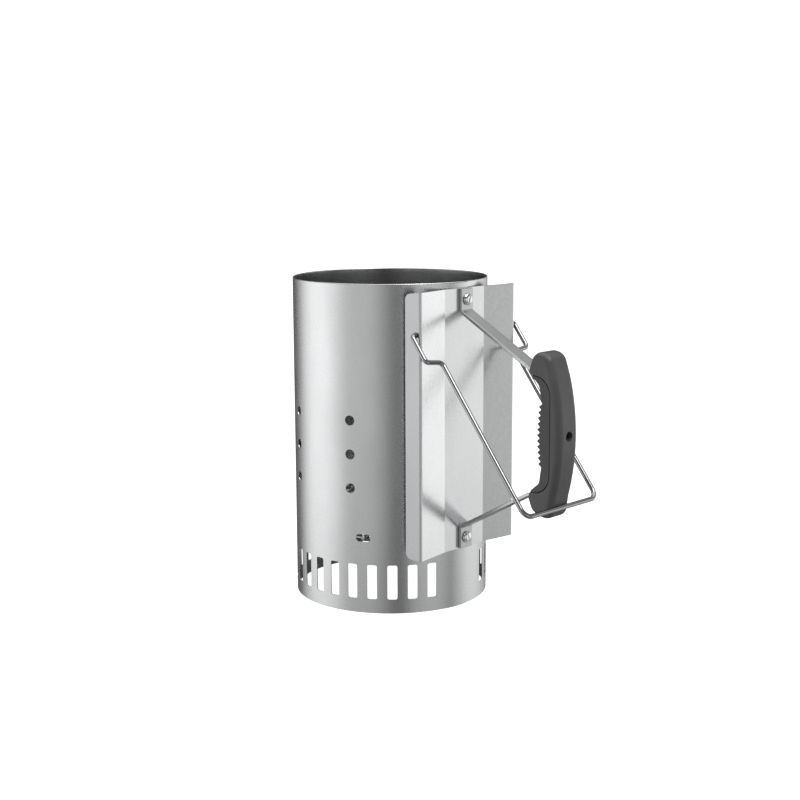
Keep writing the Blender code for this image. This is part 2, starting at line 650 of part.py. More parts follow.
def make_grate(steel):
    slope = hypot(1.0, GRATE_RISE)
    drop = (2 * GRATE_WIRE_RADIUS + GAP) * slope
    for name, radius, segments in GRATE_RINGS:
        height = cone_height(radius) - drop
        place(name, wire_ring(name, radius, height, GRATE_WIRE_RADIUS, segments), steel, smooth=50)
    inner_end = GRATE_RINGS[-1][1] - GRATE_OVERLAP
    for i in range(GRATE_SPOKES):
        name = f"grate_spoke_{i + 1:02d}"
        end = GRATE_LONG_END if i % (GRATE_SPOKES // 4) == 0 else GRATE_SHORT_END
        corners = flat((inner_end, cone_height(inner_end), 0.0), (GRATE_KNEE, WINDOW_Z, 5 * MM),
                       (end, WINDOW_Z, 0.0))
        bm = bmesh.new()
        sweep(bm, rounded_path(corners, closed=False, steps=2), GRATE_WIRE_RADIUS)
        turn = radians(WINDOW_FIRST + i * 360 / GRATE_SPOKES)
        place(name, to_mesh(name, bm), steel, smooth=50, rotation=(0.0, 0.0, turn))


# --- Assembly ----------------------------------------------------------------------------------

clear_scene()
AXIS = bpy.data.objects.new("starter_axis", None)
AXIS.location = (AXIS_X, 0.0, 0.0)
bpy.context.collection.objects.link(AXIS)

BODY_STEEL = material("aluminised_sheet", (0.52, 0.53, 0.54), 0.38, 1.0)
SHIELD_STEEL = material("shield_sheet", (0.60, 0.61, 0.62), 0.34, 1.0)
STRAP_STEEL = material("plated_strap", (0.55, 0.56, 0.57), 0.30, 1.0)
SCREW_STEEL = material("zinc_plated", (0.62, 0.62, 0.63), 0.25, 1.0)
BAIL_STEEL = material("plated_wire", (0.70, 0.70, 0.71), 0.18, 1.0)
GRATE_STEEL = material("grate_wire", (0.56, 0.56, 0.56), 0.35, 1.0)
SHELL_PLASTIC = material("grip_plastic", (0.090, 0.091, 0.094), 0.55, 0.0)
INSERT_PLASTIC = material("insert_plastic", (0.082, 0.083, 0.086), 0.62, 0.0)
DARK_STEEL = material("blackened_steel", (0.03, 0.03, 0.03), 0.45, 1.0)

make_body(BODY_STEEL)
make_shield(SHIELD_STEEL)
make_strap(STRAP_STEEL)
make_grip(SHELL_PLASTIC, INSERT_PLASTIC)
make_strap_fasteners(SCREW_STEEL)
make_grip_fasteners(DARK_STEEL, SCREW_STEEL)
make_bail(BAIL_STEEL)
make_grate(GRATE_STEEL)
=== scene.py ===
"""Chimney charcoal starter: its looks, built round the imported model.

Each piece is modelled again in full detail where its CAD node lies, and gets a procedural material.
Metres, +Z up. Pieces are built about the cylinder's axis, with +X from the axis to the grip, and
then moved to where the frame has that axis.
"""

import json
from math import asin, atan2, cos, hypot, pi, radians, sin, tan

import bmesh
import bpy
from mathutils import Matrix, Vector, noise


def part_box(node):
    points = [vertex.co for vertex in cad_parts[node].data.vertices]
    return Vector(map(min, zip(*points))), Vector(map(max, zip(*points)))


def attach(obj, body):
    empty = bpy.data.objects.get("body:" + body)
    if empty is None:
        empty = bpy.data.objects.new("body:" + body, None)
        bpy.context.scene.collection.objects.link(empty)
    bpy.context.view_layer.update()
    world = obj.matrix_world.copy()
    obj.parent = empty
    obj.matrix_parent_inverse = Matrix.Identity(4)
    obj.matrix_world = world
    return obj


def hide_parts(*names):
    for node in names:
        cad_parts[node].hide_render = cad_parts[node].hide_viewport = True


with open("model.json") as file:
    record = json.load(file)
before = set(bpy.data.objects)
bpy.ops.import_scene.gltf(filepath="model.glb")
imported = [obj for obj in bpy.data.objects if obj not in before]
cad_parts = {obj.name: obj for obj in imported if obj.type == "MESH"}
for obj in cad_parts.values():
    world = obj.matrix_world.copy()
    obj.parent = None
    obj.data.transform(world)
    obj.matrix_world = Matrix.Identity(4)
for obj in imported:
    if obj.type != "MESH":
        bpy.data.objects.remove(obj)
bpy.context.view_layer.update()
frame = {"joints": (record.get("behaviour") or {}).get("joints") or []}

MM = 0.001
GAP = 0.3 * MM

# The frame's own places
BODY_LOW, BODY_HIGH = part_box("cylinder_body")
RADIUS = BODY_HIGH.y
HEIGHT = BODY_HIGH.z
AXIS = Vector((BODY_LOW.x + RADIUS, 0.0, 0.0))


def box_about_axis(node):
    low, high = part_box(node)
    return low - AXIS, high - AXIS


SHIELD_LOW, SHIELD_HIGH = box_about_axis("heat_shield")
STRAP_LOW, STRAP_HIGH = box_about_axis("handle_strap")
SHELL_HIGH = box_about_axis("handle_outer_shell")[1]
INSERT_HIGH = box_about_axis("handle_grip_insert")[1]
MID_Z = (SHIELD_LOW.z + SHIELD_HIGH.z) / 2
BAIL_JOINT = next(joint for joint in frame["joints"] if joint["name"] == "bail_swing")
PIVOT = Vector(BAIL_JOINT["pos_m"]) - AXIS

# Cylinder
SHEET = 0.8 * MM
HEM = 5.0 * MM                      # the top edge is folded in this far
LAP_RAMP = (-22.0, -7.0)            # degrees: where the sheet's outer end rises onto its inner end
LAP_EDGE = 3.0                      # degrees: where the outer end stops
LAP_DROP = 0.1                      # degrees in which the wall falls back there
SLOTS_PER_SIDE = 14
SLOT_PITCH = 11.72                  # degrees
SLOT_WIDTH = 9.6 * MM
SLOT_BOTTOM = 13.6 * MM
SLOT_TOP = 47.2 * MM
SLOT_CORNER = 2.0 * MM
HOLE_DIAMETER = 9.6 * MM
HOLE_COLUMNS = (69.5, 114.5)        # degrees, on each side
HOLE_HEIGHTS = (120.6 * MM, 153.0 * MM, 185.4 * MM)
WINDOW_WIDTH = 14.6 * MM
WINDOW_HEIGHT = 7.4 * MM
WINDOW_Z = 73.2 * MM
WINDOW_FIRST = -62.0                # degrees, then one every quarter turn
WALL_EDGE = 0.14 * MM               # bevel width, as for each piece's edge below
WALL_STEPS = 360
FOLD_STEPS = 8

# Shield
SHIELD_THICKNESS = 1.0 * MM
SHIELD_BACK = RADIUS + SHEET + GAP
SHIELD_FLAT_HALF = 27.5 * MM
SHIELD_BEND = 1.6 * MM
SHIELD_CORNER = 6.0 * MM
FLANGE_DROP = 1.4 * MM              # the flanges' tops fall this far towards the cylinder
EYE_RADIUS = 2.65 * MM              # holes for the bail's ends
SHIELD_EDGE = 0.16 * MM

# Strap
STRAP_THICKNESS = 3.0 * MM
FOOT_X = STRAP_LOW.x + STRAP_THICKNESS / 2
FOOT_BEND_RISE = 103.0 * MM         # rises are measured from MID_Z
FOOT_BEND = 3.0 * MM                # bend radii of the strap's middle line
ARM_BEND = 10.0 * MM
ARM_END_X = 181.0 * MM
SCREW_RISE = 114.2 * MM
STRAP_EDGE = 0.5 * MM

# Grip
GRIP_FACE_X = INSERT_HIGH.x + GAP / 2
GRIP_FACE_RISE = 53.3 * MM
GRIP_FACE_CORNER = 18.0 * MM
JOINT_START_X = 170.0 * MM
SEAM = 0.35 * MM                    # from the joint line to each half, which leaves a groove
STRAP_OFFSET = GAP + STRAP_THICKNESS / 2
STRAP_LIFT = 2.6 * MM               # extra room between the strap and the insert at its ends
GRIP_HALF_WIDTH = SHELL_HIGH.y
GRIP_OUTER_X = SHELL_HIGH.x
GRIP_ARC_RADIUS = 205.0 * MM
GRIP_ARC_CENTRE_RISE = -2.0 * MM
GRIP_ARC_REACH = 54.0 * MM
GRIP_ROUNDING = 6.0 * MM
EDGE_SHARE = 0.25                   # share of that rounding on the finger side
OUTER_SIDE_BLEND = 10.0 * MM        # from there the share grows to 1 over these lengths
END_SIDE_BLEND = 22.0 * MM
END_SIDE_START = GRIP_FACE_RISE + 5.0 * MM
GRIP_ARC_STEPS = 12
GRIP_LAYERS = 9
# Ends of the grip as (x, rise, corner radius) in millimetres, from the outer arc to the ridges and back
GRIP_TOP_END = ((207.0, 72.6, 11.0), (190.0, 75.8, 9.0), (184.2, 55.2, 3.0), (196.6, 44.4, 8.0))
GRIP_LOW_END = ((197.2, -43.8, 6.0), (188.6, -50.8, 6.0), (185.2, -57.5, 4.0), (189.6, -71.4, 9.0),
                (199.2, -75.4, 8.0), (210.6, -77.0, 8.0))
RIDGES = 11
RIDGE_PITCH = 5.2 * MM
RIDGE_HEIGHT = 3.0 * MM
RIDGE_TIP_X = 194.6 * MM
RIDGE_ARC_RADIUS = 190.0 * MM
RIDGE_ROUNDING = 0.2 * MM
GRIP_FLOOR = 2.0 * MM               # plastic under the screw's head
SHELL_EDGE = 0.28 * MM
INSERT_EDGE = 0.14 * MM

# Fasteners
BOLT_RADIUS = 2.5 * MM
BOLT_HOLE_RADIUS = 2.9 * MM
BOLT_TAIL = 1.2 * MM                # past the nut
BOLT_PLAIN = 3.0 * MM               # shank without thread under the head
BOLT_POINT = 0.7 * MM               # chamfer at the tail
THREAD_PITCH = 0.8 * MM
THREAD_DEPTH = 0.42 * MM
HEAD_RADIUS = 5.6 * MM
HEAD_HEIGHT = 2.6 * MM
HEAD_EDGE = 0.15 * MM
HEAD_CROWN = 72.0                   # degrees of arc in the head's domed top
DRIVER_SLOT = 1.5 * MM
DRIVER_SLOT_TURN = 20.0             # degrees from upright, the other way on the lower screw
SCREW_EDGE = 0.1 * MM
NUT_FLAT_RADIUS = 4.0 * MM          # to the middle of a flat
NUT_THICKNESS = 3.6 * MM
NUT_CHAMFER = 0.3 * MM              # at the bore
NUT_SMOOTH = 25.0                   # degrees: edges sharper than this stay sharp in the shading
WASHER_RADIUS = 5.6 * MM
WASHER_THICKNESS = 1.0 * MM
WASHER_EDGE = 0.15 * MM
GRIP_HEAD_RADIUS = 4.0 * MM
COUNTERBORE_RADIUS = 4.6 * MM

# Bail
BAIL_WIRE = 2.25 * MM               # radius
BAIL_PIVOT_HALF = 71.8 * MM         # half widths: at the pivots, of the inturned tips, past the kinks
BAIL_TIP_HALF = 59.0 * MM
BAIL_STRAIGHT_HALF = 52.2 * MM
BAIL_KINK = 28.5 * MM
BAIL_KINK_LEAN = 2.5 * MM
BAIL_LENGTH = 192.0 * MM
BAIL_BENDS = (4.0 * MM, 5.0 * MM, 9.0 * MM)     # radii: at the pivots, past the kinks, at the far corners
BAIL_REST = 52.25                   # degrees below the horizontal

# Grate
GRATE_WIRE = 2.0 * MM               # radius
GRATE_SPOKES = 12
GRATE_RISE = 0.78                   # height gained for each unit towards the middle
GRATE_RINGS = (("grate_base_ring", 83.0 * MM), ("grate_lower_ring", 59.0 * MM),
               ("grate_upper_ring", 35.0 * MM), ("grate_crown_ring", 14.0 * MM))
GRATE_OVERLAP = 2.5 * MM            # the spokes reach this far in past the crown ring
GRATE_KNEE = 84.5 * MM              # where the spokes turn level
GRATE_KNEE_BEND = 5.0 * MM
GRATE_SHORT_END = 88.0 * MM
GRATE_LONG_END = 96.0 * MM          # the spokes that rest in the windows
BEAD_RADII = Vector((2.3, 2.3, 2.0)) * MM       # of the weld beads where spokes cross rings
BEAD_LUMPS = 0.16                   # share of its radius

CUT = 3.0 * MM                      # cutters reach at least this far past what they cut


# --- Materials ---------------------------------------------------------------------------------

class Look:
    """A Principled material whose colour, roughness and bump come from layers of noise."""

    def __init__(self, name, metallic=0.0):
        self.material = bpy.data.materials.new(name)
        self.material.use_nodes = True
        self.tree = self.material.node_tree
        self.shader = self.tree.nodes["Principled BSDF"]
        self.shader.inputs["Metallic"].default_value = metallic
        self.place = self.add("ShaderNodeTexCoord").outputs["Object"]
        self.normal = None

    def add(self, kind, **settings):
        node = self.tree.nodes.new(kind)
        for name, value in settings.items():
            setattr(node, name, value)
        return node

    def feed(self, socket, value):
        """Links an output, or sets a number or a colour."""
        if isinstance(value, bpy.types.NodeSocket):
            self.tree.links.new(value, socket)
        elif isinstance(value, tuple) and len(value) == 3 and socket.type == "RGBA":
            socket.default_value = (*value, 1.0)
        else:
            socket.default_value = value

    def noise(self, size, stretch=(1.0, 1.0, 1.0), turn=(0.0, 0.0, 0.0), detail=3.0):
        """Noise with features of the given size, stretched along axes that are turned by degrees."""
        mapping = self.add("ShaderNodeMapping", vector_type="TEXTURE")
        self.feed(mapping.inputs["Vector"], self.place)
        self.feed(mapping.inputs["Scale"], tuple(size * s for s in stretch))
        self.feed(mapping.inputs["Rotation"], tuple(radians(t) for t in turn))
        texture = self.add("ShaderNodeTexNoise")
        self.feed(texture.inputs["Vector"], mapping.outputs["Vector"])
        self.feed(texture.inputs["Scale"], 1.0)
        self.feed(texture.inputs["Detail"], detail)
        return texture.outputs["Fac"]

    def span(self, value, low, high, start=0.3, end=0.7):
        """The value's range from start to end spread over low to high."""
        node = self.add("ShaderNodeMapRange")
        for name, number in (("From Min", start), ("From Max", end), ("To Min", low), ("To Max", high)):
            self.feed(node.inputs[name], number)
        self.feed(node.inputs["Value"], value)
        return node.outputs["Result"]

    def blend(self, share, a, b):
        """The colour a, with b taking over as share goes from 0 to 1."""
        node = self.add("ShaderNodeMix", data_type="RGBA")
        self.feed(node.inputs["Factor"], share)
        self.feed(node.inputs[6], a)
        self.feed(node.inputs[7], b)
        return node.outputs[2]

    def combine(self, a, b, operation="ADD"):
        node = self.add("ShaderNodeMath", operation=operation)
        self.feed(node.inputs[0], a)
        self.feed(node.inputs[1], b)
        return node.outputs[0]

    def bump(self, height, depth):
        """Adds relief that is depth deep where height goes from 0 to 1."""
        node = self.add("ShaderNodeBump")
        self.feed(node.inputs["Height"], height)
        self.feed(node.inputs["Distance"], depth)
        self.feed(node.inputs["Strength"], 1.0)
        if self.normal is not None:
            self.feed(node.inputs["Normal"], self.normal)
        self.normal = node.outputs["Normal"]
        self.feed(self.shader.inputs["Normal"], self.normal)

    def surface(self, colour, roughness):
        self.feed(self.shader.inputs["Base Color"], colour)
        self.feed(self.shader.inputs["Roughness"], roughness)
        return self.material


def sheet_look(name, dark, light, roughness):
    """Aluminised sheet: a fine mottle, faint rolling grain and slow waves in the surface."""
    look = Look(name, metallic=1.0)
    fine = look.noise(1.1 * MM, detail=4.0)
    cloud = look.noise(26 * MM, stretch=(1.0, 1.0, 2.2))
    grain = look.noise(0.9 * MM, stretch=(1.0, 1.0, 26.0), detail=2.0)
    tone = look.blend(look.span(fine, 0.0, 1.0), dark, light)
    tone = look.blend(look.span(cloud, 0.0, 0.22), tone, dark)
    tone = look.blend(look.span(grain, 0.0, 0.16), tone, light)
    low, high = roughness
    rough = look.combine(look.span(fine, low, high), look.span(cloud, -0.02, 0.03))
    look.bump(look.noise(90 * MM, stretch=(1.0, 1.0, 2.5), detail=1.0), 0.80 * MM)
    look.bump(fine, 0.012 * MM)
    return look.surface(tone, rough)


def brushed_look(name, dark, light, roughness):
    """Satin sheet with crossing diagonal grain."""
    look = Look(name, metallic=1.0)
    one = look.noise(1.1 * MM, stretch=(1.0, 6.0, 1.0), turn=(45.0, 0.0, 0.0), detail=2.0)
    other = look.noise(1.1 * MM, stretch=(1.0, 6.0, 1.0), turn=(-45.0, 0.0, 0.0), detail=2.0)
    cloud = look.noise(24 * MM, stretch=(1.0, 1.0, 2.0))
    weave = look.combine(look.combine(one, other), 0.5, "MULTIPLY")
    tone = look.blend(look.span(weave, 0.0, 1.0, 0.4, 0.6), dark, light)
    tone = look.blend(look.span(cloud, 0.0, 0.2), tone, light)
    low, high = roughness
    rough = look.combine(look.span(weave, low, high, 0.4, 0.6), look.span(cloud, -0.02, 0.02))
    look.bump(look.noise(120 * MM, detail=1.0), 0.25 * MM)
    look.bump(weave, 0.003 * MM)
    return look.surface(tone, rough)


def plated_look(name, dark, light, roughness, length=14.0):
    """Plated steel with drawing lines along X, length times as long as wide, and small dull patches."""
    look = Look(name, metallic=1.0)
    lines = look.noise(0.35 * MM, stretch=(length, 1.0, 1.0), detail=2.0)
    patch = look.noise(5 * MM)
    fine = look.noise(0.7 * MM)
    tone = look.blend(look.span(lines, 0.0, 1.0), dark, light)
    tone = look.blend(look.span(patch, 0.0, 0.3), tone, dark)
    low, high = roughness
    rough = look.combine(look.span(fine, low, high), look.span(patch, 0.0, 0.05))
    look.bump(lines, 0.006 * MM)
    look.bump(fine, 0.003 * MM)
    return look.surface(tone, rough)


def plastic_look(name, dark, light, roughness):
    """Glass-filled plastic: a fine spark-eroded texture with a faint flow pattern."""
    look = Look(name)
    texture = look.noise(0.45 * MM, detail=4.0)
    flow = look.noise(14 * MM, stretch=(1.0, 1.0, 2.6), detail=2.0)
    tone = look.blend(look.span(flow, 0.0, 1.0), dark, light)
    tone = look.blend(look.span(texture, 0.0, 0.25), tone, light)
    low, high = roughness
    rough = look.combine(look.span(texture, low, high), look.span(flow, -0.02, 0.02))
    look.bump(texture, 0.030 * MM)
    return look.surface(tone, rough)


BODY_STEEL = sheet_look("aluminised_sheet", (0.63, 0.635, 0.64), (0.73, 0.735, 0.74), (0.23, 0.29))
# The same sheet as the outside, a little darker: painted shade inside the cylinder
BODY_INSIDE_SHADED = sheet_look("aluminised_sheet_inside_shaded", (0.60, 0.60, 0.605), (0.68, 0.68, 0.685), (0.20, 0.25))
SHIELD_STEEL = brushed_look("shield_sheet", (0.735, 0.74, 0.745), (0.80, 0.805, 0.81), (0.22, 0.27))
# The same sheet as the shield but darker: painted shade on the flanges' outer faces
FLANGE_SHADED_STEEL = brushed_look("shield_flange_painted_shade", (0.42, 0.425, 0.43), (0.48, 0.485, 0.49), (0.28, 0.34))
STRAP_STEEL = plated_look("zinc_strip", (0.55, 0.555, 0.56), (0.66, 0.665, 0.67), (0.26, 0.34), length=30.0)
SCREW_STEEL = plated_look("zinc_plated_steel", (0.80, 0.80, 0.80), (0.92, 0.92, 0.92), (0.09, 0.14),
                          length=2.0)
BAIL_STEEL = plated_look("bright_wire", (0.37, 0.37, 0.38), (0.46, 0.46, 0.47), (0.12, 0.17))
GRATE_STEEL = plated_look("grate_wire", (0.46, 0.46, 0.46), (0.60, 0.60, 0.60), (0.28, 0.38))
SHELL_PLASTIC = plastic_look("grip_plastic", (0.080, 0.081, 0.083), (0.100, 0.101, 0.104), (0.36, 0.44))
INSERT_PLASTIC = plastic_look("insert_plastic", (0.074, 0.075, 0.077), (0.092, 0.093, 0.096), (0.46, 0.56))
DARK_STEEL = plated_look("blackened_steel", (0.018, 0.018, 0.018), (0.035, 0.035, 0.035), (0.35, 0.5))


# --- Outlines, as 2-D points -------------------------------------------------------------------

def fillet(before, corner, after, radius, steps):
    """The arc that rounds one corner of a path."""
    a = (before - corner).normalized()
    b = (after - corner).normalized()
    half = a.angle(b) / 2
    centre = corner + (a + b).normalized() * (radius / sin(half))
    start = corner + a * (radius / tan(half)) - centre
    end = corner + b * (radius / tan(half)) - centre
    turn = atan2(start.x * end.y - start.y * end.x, start.dot(end))
    return [centre + Matrix.Rotation(turn * i / steps, 2) @ start for i in range(steps + 1)]


def rounded_path(corners, closed=False, steps=8):
    """Points of a path through corners (a, b, radius); radius 0 keeps a corner sharp."""
    path = []
    count = len(corners)
    for i, (a, b, radius) in enumerate(corners):
        corner = Vector((a, b))
        if radius and (closed or 0 < i < count - 1):
            before = Vector(corners[i - 1][:2])
            after = Vector(corners[(i + 1) % count][:2])
            path += fillet(before, corner, after, radius, steps)
        else:
            path.append(corner)
    return path


def rounded_rectangle(width, height, radius, steps):
    signs = ((1, -1), (1, 1), (-1, 1), (-1, -1))
    corners = [(sx * width / 2, sy * height / 2, radius) for sx, sy in signs]
    return rounded_path(corners, closed=True, steps=steps)


def circle(radius, steps):
    angles = [2 * pi * i / steps for i in range(steps)]
    return [Vector((radius * cos(angle), radius * sin(angle))) for angle in angles]


def shifted(outline, rise):
    return [point + Vector((0.0, rise)) for point in outline]


def offset_path(path, distance):
    """The path moved to its left by distance, mitred at its corners."""
    moved = []
    for i, point in enumerate(path):
        before = (point - path[i - 1]).normalized() if i else None
        after = (path[i + 1] - point).normalized() if i + 1 < len(path) else before
        before = before or after
        left = Vector((-before.y - after.y, before.x + after.x)).normalized()
        moved.append(point + left * (distance / left.dot(Vector((-after.y, after.x)))))
    return moved


def band(path, near, far):
    """The outline of a strip that follows path, from near to far on its left."""
    return offset_path(path, near) + list(reversed(offset_path(path, far)))


# Planes that carry an outline's points into the model

def upright(y):
    return lambda p: Vector((p.x, y, p.y))


def level(z):
    return lambda p: Vector((p.x, p.y, z))


def facing_x(x):
    return lambda p: Vector((x, p.x, p.y))


def radial(angle, reach):
    turn = Matrix.Rotation(radians(angle), 3, "Z")
    return lambda p: turn @ Vector((reach, p.x, p.y))


# --- Solids ------------------------------------------------------------------------------------

def loft(bm, rings, closed=False):
    """Joins rings of equal point counts with faces, and returns the faces of each span."""
    loops = [[bm.verts.new(point) for point in ring] for ring in rings]
    count = len(loops[0])
    spans = list(zip(loops, loops[1:]))
    if closed:
        spans.append((loops[-1], loops[0]))
    made = []
    for low, high in spans:
        span = []
        for i in range(count):
            j = (i + 1) % count
            span.append(bm.faces.new((low[i], low[j], high[j], high[i])))
        made.append(span)
    if not closed:
        bm.faces.new(loops[0])
        bm.faces.new(loops[-1])
    return made


def prism(bm, outline, *planes):
    loft(bm, [[plane(point) for point in outline] for plane in planes])


def turned_x(bm, profile, steps=40, closed=False):
    """A solid turned about the X axis from (x, radius) pairs."""
    loft(bm, [[facing_x(x)(p) for p in circle(r, steps)] for x, r in profile], closed)


def sweep(bm, points, radius, sides=18):
    """A round wire along an open path, with mitred joints and rounded ends."""
    first = (points[1] - points[0]).normalized()
    last = (points[-1] - points[-2]).normalized()
    side = first.orthogonal().normalized()
    rings = []
    for i, point in enumerate(points):
        before = (point - points[i - 1]).normalized() if i else first
        after = (points[i + 1] - point).normalized() if i + 1 < len(points) else last
        mitre = (before + after).normalized()
        side = (side - before * side.dot(before)).normalized()
        other = before.cross(side)
        ring = []
        for k in range(sides):
            angle = 2 * pi * k / sides
            spoke = (side * cos(angle) + other * sin(angle)) * radius
            ring.append(spoke - before * (spoke.dot(mitre) / before.dot(mitre)))
        rings.append((point, ring))
    ends = []
    for (point, ring), inward in ((rings[0], first), (rings[-1], -last)):
        steps = ((0.0, 0.62), (0.10, 0.84), (0.30, 0.96), (0.55, 1.0))      # depths and radii, in radii
        ends.append([(point + inward * radius * depth, [s * share for s in ring]) for depth, share in steps])
    whole = ends[0] + rings[1:-1] + list(reversed(ends[1]))
    loft(bm, [[point + spoke for spoke in ring] for point, ring in whole])


def torus(bm, radius, height, wire, segments=120, sides=16):
    rings = []
    for i in range(segments):
        angle = 2 * pi * i / segments
        out = Vector((cos(angle), sin(angle), 0.0))
        centre = out * radius + Vector((0.0, 0.0, height))
        rings.append([centre + out * p.x + Vector((0.0, 0.0, p.y)) for p in circle(wire, sides)])
    loft(bm, rings, closed=True)


def mesh_from(name, bm):
    bmesh.ops.recalc_face_normals(bm, faces=bm.faces)
    data = bpy.data.meshes.new(name)
    bm.to_mesh(data)
    bm.free()
    return data


def make(name, bm, *materials):
    """An object about the cylinder's axis."""
    data = mesh_from(name, bm)
    for mat in materials:
        data.materials.append(mat)
    obj = bpy.data.objects.new(name, data)
    bpy.context.collection.objects.link(obj)
    return obj


def keep_evaluated(obj):
    """Replaces the object's mesh by what its modifiers make of it."""
    graph = bpy.context.evaluated_depsgraph_get()
    data = bpy.data.meshes.new_from_object(obj.evaluated_get(graph))
    obj.modifiers.clear()
    obj.data = data


def carve(obj, bm, operation="DIFFERENCE"):
    """Cuts obj with the solids in bm, or keeps what they share."""
    cutter = make("cutter", bm)
    modifier = obj.modifiers.new("carve", "BOOLEAN")
    modifier.operation = operation
    modifier.solver = "EXACT"
    modifier.object = cutter
    keep_evaluated(obj)
    bpy.data.objects.remove(cutter, do_unlink=True)


def finish(obj, nodes, body="root", edge=None, segments=2, smooth=40.0, at=Vector()):
    """Bevels and smooths a piece, puts it in place, hangs it on its body and hides the CAD nodes it stands
    in for.
    """
    if edge:
        bevel = obj.modifiers.new("edges", "BEVEL")
        bevel.width = edge
        bevel.segments = segments
        bevel.limit_method = "ANGLE"
        bevel.angle_limit = radians(smooth)
        bevel.use_clamp_overlap = True
        keep_evaluated(obj)
    obj.data.shade_smooth()
    obj.data.set_sharp_from_angle(angle=radians(smooth))
    even = obj.modifiers.new("even_shading", "WEIGHTED_NORMAL")
    even.keep_sharp = True
    obj.location = AXIS + at
    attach(obj, body)
    if nodes:
        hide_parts(*nodes)
    return obj


# --- Cylinder ----------------------------------------------------------------------------------

def wall_outer(angle):
    """The wall's outer radius, with the sheet's outer end lying on its inner end."""
    start, end = LAP_RAMP
    if start < angle <= LAP_EDGE:
        rise = min(1.0, (angle - start) / (end - start))
        return RADIUS + SHEET * rise * rise * (3 - 2 * rise)
    return RADIUS


def wall_profile(outer):
    """(radius, height) pairs up the outside, over the folded edge and down the inside."""
    inner = RADIUS - SHEET
    fold = inner - SHEET
    middle = (outer + fold) / 2
    half = (outer - fold) / 2
    profile = [(outer, 0.0)]
    for i in range(FOLD_STEPS + 1):
        angle = pi * i / FOLD_STEPS
        profile.append((middle + half * cos(angle), HEIGHT - half + half * sin(angle)))
    chamfer = 0.3 * SHEET
    profile += [(fold, HEIGHT - HEM + chamfer), (fold + chamfer, HEIGHT - HEM)]
    profile += [(inner, HEIGHT - HEM), (inner, 0.0)]
    return profile


def wall_cutters():
    bm = bmesh.new()
    reach = (RADIUS - 2 * CUT, RADIUS + 2 * CUT)
    height = SLOT_TOP - SLOT_BOTTOM
    slot = shifted(rounded_rectangle(SLOT_WIDTH, height, SLOT_CORNER, 6), SLOT_BOTTOM + height / 2)
    round_end = 0.98 * WINDOW_HEIGHT / 2
    window = shifted(rounded_rectangle(WINDOW_WIDTH, WINDOW_HEIGHT, round_end, 10), WINDOW_Z)
    gap = 360 - SLOT_PITCH * (2 * SLOTS_PER_SIDE - 1)
    cuts = []
    for side in (-1, 1):
        cuts += [(slot, side * (gap / 2 + k * SLOT_PITCH)) for k in range(SLOTS_PER_SIDE)]
        for height in HOLE_HEIGHTS:
            hole = shifted(circle(HOLE_DIAMETER / 2, 36), height)
            cuts += [(hole, side * column) for column in HOLE_COLUMNS]
        cuts.append((shifted(circle(BOLT_HOLE_RADIUS, 24), MID_Z + side * SCREW_RISE), 0.0))
    cuts += [(window, WINDOW_FIRST + 90 * quarter) for quarter in range(4)]
    for outline, angle in cuts:
        prism(bm, outline, *(radial(angle, r) for r in reach))
    return bm


def make_cylinder():
    angles = [360 * i / WALL_STEPS - 180 for i in range(WALL_STEPS)]
    angles.insert(angles.index(LAP_EDGE) + 1, LAP_EDGE + LAP_DROP)
    profiles = [wall_profile(wall_outer(angle)) for angle in angles]
    bm = bmesh.new()
    rings = []
    for step in range(len(profiles[0])):
        ring = []
        for angle, profile in zip(angles, profiles):
            r, z = profile[step]
            ring.append(Vector((r * cos(radians(angle)), r * sin(radians(angle)), z)))
        rings.append(ring)
    spans = loft(bm, rings, closed=True)
    # Faces inside the cylinder take the darker inside sheet, whose lower tone is painted shade
    for span in spans[FOLD_STEPS:-1]:
        for face in span:
            face.material_index = 1
    wall = make("cylinder_sheet", bm, BODY_STEEL, BODY_INSIDE_SHADED)
    carve(wall, wall_cutters())
    finish(wall, ["cylinder_body"], edge=WALL_EDGE)


# --- Shield ------------------------------------------------------------------------------------

def shield_plan():
    """The middle line of the bent sheet seen from above."""
    half = SHIELD_THICKNESS / 2
    middle = SHIELD_BACK + half
    wing_x = SHIELD_HIGH.x - half
    wing_y = SHIELD_HIGH.y - half
    corners = [(SHIELD_LOW.x, wing_y, 0.0), (wing_x, wing_y, SHIELD_BEND),
               (middle, SHIELD_FLAT_HALF, 3 * SHIELD_BEND)]
    corners += [(x, -y, r) for x, y, r in reversed(corners)]
    return rounded_path(corners, steps=10)


def flange_waste(end, edge_z):
    """What is cut off a flange at its upper (end 1) or lower (end -1) corner, as (x, z) points."""
    steps = 12
    start_x = SHIELD_HIGH.x - 2 * SHIELD_BEND
    past_x = SHIELD_LOW.x - CUT
    past_z = edge_z + end * CUT
    drop = FLANGE_DROP if end > 0 else 0.0
    centre = Vector((SHIELD_LOW.x + SHIELD_CORNER, edge_z - end * SHIELD_CORNER - drop))
    corners = [(start_x, edge_z), (start_x, past_z), (past_x, past_z), (past_x, centre.y)]
    waste = [Vector(corner) for corner in corners]
    for i in range(steps + 1):
        angle = pi - pi / 2 * i / steps
        waste.append(centre + SHIELD_CORNER * Vector((cos(angle), end * sin(angle))))
    return waste


def shield_cutters():
    bm = bmesh.new()
    for side in (-1, 1):
        reach = [side * (SHIELD_HIGH.y + shift) for shift in (-SHIELD_THICKNESS - CUT, CUT)]
        for end, edge_z in ((-1, SHIELD_LOW.z), (1, SHIELD_HIGH.z)):
            prism(bm, flange_waste(end, edge_z), *(upright(y) for y in reach))
        eye = [Vector((PIVOT.x, PIVOT.z)) + p for p in circle(EYE_RADIUS, 32)]
        prism(bm, eye, *(upright(y) for y in reach))
        bolt = shifted(circle(BOLT_HOLE_RADIUS, 24), MID_Z + side * SCREW_RISE)
        prism(bm, bolt, facing_x(SHIELD_BACK - CUT), facing_x(SHIELD_BACK + SHIELD_THICKNESS + CUT))
    return bm


